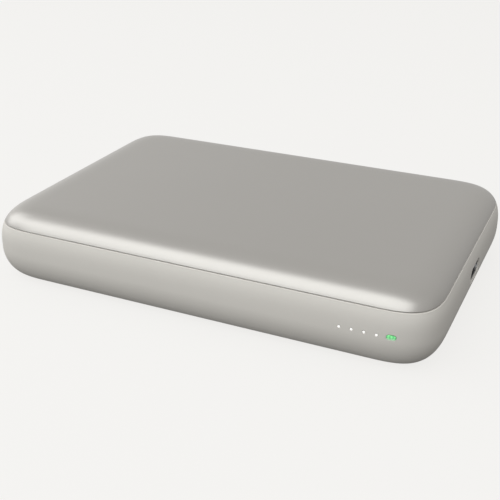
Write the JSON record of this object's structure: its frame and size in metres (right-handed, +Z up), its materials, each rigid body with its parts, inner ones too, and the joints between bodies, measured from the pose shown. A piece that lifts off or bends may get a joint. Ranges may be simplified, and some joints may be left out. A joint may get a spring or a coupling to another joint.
{
  "type": "power bank",
  "caption": "Slim rounded pocket power bank: matte case with a satin metallic cover, USB-C socket on one end, level lights and a status light on one side, a push button on the other.",
  "frame": {"origin": "centre of the footprint, on the face that the power bank rests on", "axes": "+X along the length towards the end with the USB-C socket, -Y towards the side with the level lights, +Z up towards the metallic cover"},
  "size_m": [0.108, 0.073, 0.0175],
  "materials": {
    "case_plastic": "fine matte spark texture, warm light grey",
    "cover_finish": "satin silver-grey metallic paint",
    "button_plastic": "fine matte texture, warm light grey",
    "black_plastic": "matte black",
    "frame_plastic": "matte dark grey",
    "clear_plastic": "clear, frosted at the tips",
    "green_plastic": "translucent green",
    "cream_plastic": "smooth",
    "pouch_foil": "soft aluminium laminate, slightly wrinkled",
    "tape": "thin double-sided tape",
    "paper": "stiff insulating paper",
    "foam": "open-cell foam",
    "nickel": "bare nickel strip",
    "screw_steel": "zinc plated",
    "shell_steel": "drawn stainless steel",
    "gold": "gold plated",
    "red_wire": "silicone insulation",
    "black_wire": "silicone insulation",
    "bead": "epoxy bead on enamelled wire",
    "board": "solder mask over glass epoxy",
    "chip_epoxy": "moulded epoxy",
    "ferrite": "moulded iron powder",
    "ceramic": "fired ceramic with tinned ends",
    "led_package": "white package"
  },
  "bodies": {
    "body": {"lower_case": "case_plastic", "top_cover": "cover_finish", "inner_frame": "frame_plastic", "frame_screws": "screw_steel", "floor_tape": "tape", "cell_lower": "pouch_foil", "cell_upper": "pouch_foil", "cell_tape": "tape", "foam_pad": "foam", "positive_strip": "nickel", "negative_strip": "nickel", "positive_lead": "red_wire", "negative_lead": "black_wire", "thermistor": "bead", "main_board": "board", "board_screws": "screw_steel", "terrace_insulator": "paper", "usb_shell": "shell_steel", "usb_tongue": "black_plastic", "usb_contacts": "gold", "level_leds": "led_package", "status_led": "led_package", "led_baffle": "black_plastic", "light_guide": "clear_plastic", "status_lens": "green_plastic", "switch_body": "black_plastic", "charge_controller": "chip_epoxy", "protection_chip": "chip_epoxy", "power_inductor": "ferrite", "capacitors": "ceramic"},
    "button": {"power_button": "button_plastic", "switch_plunger": "cream_plastic"}
  },
  "joints": [
    {"name": "button_press", "type": "slide", "parent": "body", "child": "button", "axis": [0, -1, 0], "range_m": [0, 0.0003], "stiffness_N_per_m": 4000}
  ]
}
